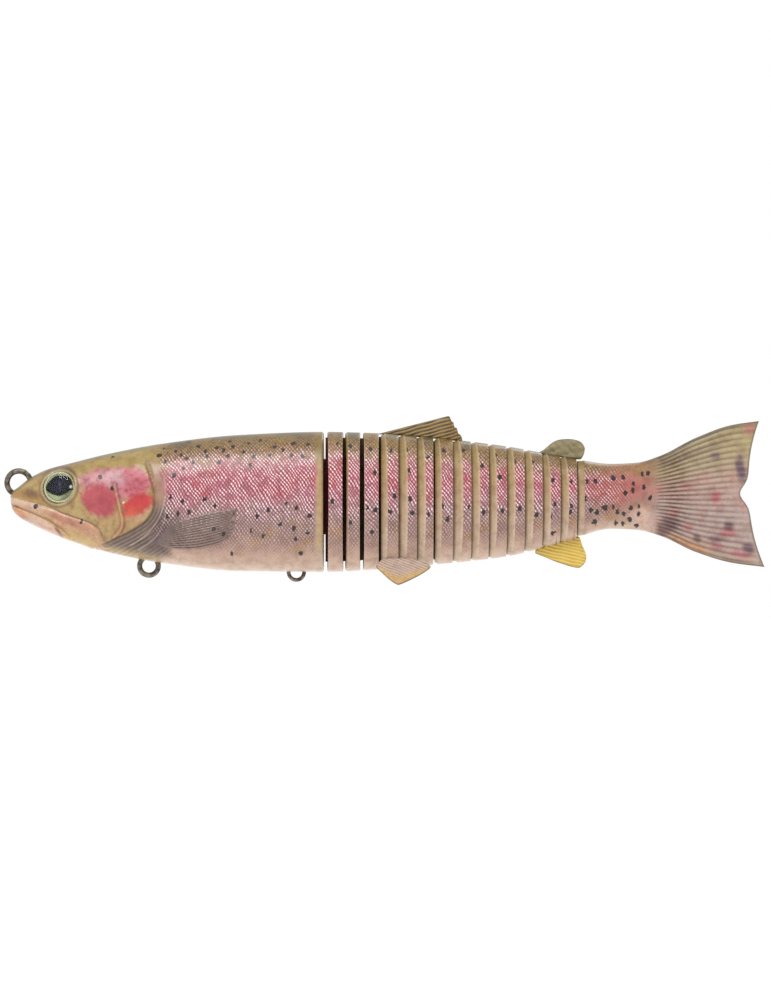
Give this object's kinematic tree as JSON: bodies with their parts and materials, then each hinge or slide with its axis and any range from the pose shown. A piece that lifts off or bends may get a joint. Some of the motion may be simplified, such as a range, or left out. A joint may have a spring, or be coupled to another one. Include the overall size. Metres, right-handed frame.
{
  "type": "sliced swimbait",
  "caption": "Trout-shaped fishing lure with a hard two-shell head, a sliced soft rear half on a fabric spine, a soft forked tail and fins, and wire loops for line and hooks.",
  "frame": {"origin": "centre of the line-tie ring on the snout", "axes": "+X from the snout to the tail, +Z to the back, Y = 0 is the mid-plane and -Y is the left flank"},
  "size_m": [0.2167, 0.025, 0.048],
  "materials": {
    "painted_shell": "hard moulded plastic with a printed and sprayed trout pattern under clear coat",
    "painted_slice": "soft plastic, sprayed trout pattern on the skin and bare tan on the cut faces",
    "painted_tail": "soft plastic, sprayed olive to mauve, satin",
    "olive_fin": "soft plastic, translucent olive brown",
    "yellow_fin": "soft plastic, translucent yellow",
    "grey_fin": "soft plastic, grey pink with a yellow edge",
    "steel_wire": "drawn stainless wire, dark tarnished",
    "brass_pin": "turned",
    "ballast_metal": "cast, dull grey",
    "web_fabric": "woven polyamide, dark brown",
    "eye_print": "printed disc, dark pupil and metallic rim",
    "eye_resin": "clear domed resin"
  },
  "bodies": {
    "head": {"head_shell_left": "painted_shell", "head_shell_right": "painted_shell", "eye_disc_left": "eye_print", "eye_disc_right": "eye_print", "eye_lens_left": "eye_resin", "eye_lens_right": "eye_resin", "line_tie": "steel_wire", "hook_hanger_front": "steel_wire", "hook_hanger_rear": "steel_wire", "ballast_front": "ballast_metal", "ballast_rear": "ballast_metal", "spine_pin_upper": "brass_pin", "spine_pin_lower": "brass_pin", "spine_web": "web_fabric"},
    "slice_01": {"slice_01": "painted_slice"},
    "slice_02": {"slice_02": "painted_slice"},
    "slice_03": {"slice_03": "painted_slice"},
    "slice_04": {"slice_04": "painted_slice"},
    "slice_05": {"slice_05": "painted_slice", "pelvic_fin_left": "grey_fin", "pelvic_fin_right": "grey_fin"},
    "slice_06": {"slice_06": "painted_slice", "dorsal_fin": "olive_fin"},
    "slice_07": {"slice_07": "painted_slice"},
    "slice_08": {"slice_08": "painted_slice"},
    "slice_09": {"slice_09": "painted_slice"},
    "slice_10": {"slice_10": "painted_slice"},
    "slice_11": {"slice_11": "painted_slice"},
    "slice_12": {"slice_12": "painted_slice"},
    "slice_13": {"slice_13": "painted_slice", "anal_fin": "yellow_fin"},
    "slice_14": {"slice_14": "painted_slice", "adipose_fin": "olive_fin"},
    "tail": {"tail": "painted_tail"}
  },
  "joints": [
    {"name": "flex_01", "type": "hinge", "parent": "head", "child": "slice_01", "pos_m": [0.0874, 0, 0], "axis": [0, 0, 1], "range_deg": [-6, 6], "deforming": ["spine_web"]},
    {"name": "flex_02", "type": "hinge", "parent": "slice_01", "child": "slice_02", "pos_m": [0.09248, 0, 0], "axis": [0, 0, 1], "range_deg": [-6, 6], "deforming": ["spine_web"]},
    {"name": "flex_03", "type": "hinge", "parent": "slice_02", "child": "slice_03", "pos_m": [0.09757, 0, 0], "axis": [0, 0, 1], "range_deg": [-6, 6], "deforming": ["spine_web"]},
    {"name": "flex_04", "type": "hinge", "parent": "slice_03", "child": "slice_04", "pos_m": [0.10265, 0, 0], "axis": [0, 0, 1], "range_deg": [-10, 10], "deforming": ["spine_web", "dorsal_fin", "pelvic_fin_left", "pelvic_fin_right"]},
    {"name": "flex_05", "type": "hinge", "parent": "slice_04", "child": "slice_05", "pos_m": [0.10774, 0, 0], "axis": [0, 0, 1], "range_deg": [-10, 10], "deforming": ["spine_web", "dorsal_fin", "pelvic_fin_left", "pelvic_fin_right"]},
    {"name": "flex_06", "type": "hinge", "parent": "slice_05", "child": "slice_06", "pos_m": [0.11282, 0, 0], "axis": [0, 0, 1], "range_deg": [-10, 10], "deforming": ["spine_web", "dorsal_fin", "pelvic_fin_left", "pelvic_fin_right"]},
    {"name": "flex_07", "type": "hinge", "parent": "slice_06", "child": "slice_07", "pos_m": [0.11791, 0, 0], "axis": [0, 0, 1], "range_deg": [-10, 10], "deforming": ["spine_web", "dorsal_fin"]},
    {"name": "flex_08", "type": "hinge", "parent": "slice_07", "child": "slice_08", "pos_m": [0.12299, 0, 0], "axis": [0, 0, 1], "range_deg": [-10, 10], "deforming": ["spine_web", "dorsal_fin"]},
    {"name": "flex_09", "type": "hinge", "parent": "slice_08", "child": "slice_09", "pos_m": [0.12808, 0, 0], "axis": [0, 0, 1], "range_deg": [-10, 10], "deforming": ["spine_web"]},
    {"name": "flex_10", "type": "hinge", "parent": "slice_09", "child": "slice_10", "pos_m": [0.13317, 0, 0], "axis": [0, 0, 1], "range_deg": [-10, 10], "deforming": ["spine_web"]},
    {"name": "flex_11", "type": "hinge", "parent": "slice_10", "child": "slice_11", "pos_m": [0.13825, 0, 0], "axis": [0, 0, 1], "range_deg": [-10, 10], "deforming": ["spine_web"]},
    {"name": "flex_12", "type": "hinge", "parent": "slice_11", "child": "slice_12", "pos_m": [0.14333, 0, 0], "axis": [0, 0, 1], "range_deg": [-10, 10], "deforming": ["spine_web"]},
    {"name": "flex_13", "type": "hinge", "parent": "slice_12", "child": "slice_13", "pos_m": [0.14842, 0, 0], "axis": [0, 0, 1], "range_deg": [-10, 10], "deforming": ["spine_web", "anal_fin"]},
    {"name": "flex_14", "type": "hinge", "parent": "slice_13", "child": "slice_14", "pos_m": [0.15351, 0, 0], "axis": [0, 0, 1], "range_deg": [-10, 10], "deforming": ["spine_web", "anal_fin", "adipose_fin"]},
    {"name": "flex_15", "type": "hinge", "parent": "slice_14", "child": "tail", "pos_m": [0.15859, 0, 0], "axis": [0, 0, 1], "range_deg": [-10, 10], "deforming": ["spine_web", "anal_fin", "adipose_fin"]}
  ]
}
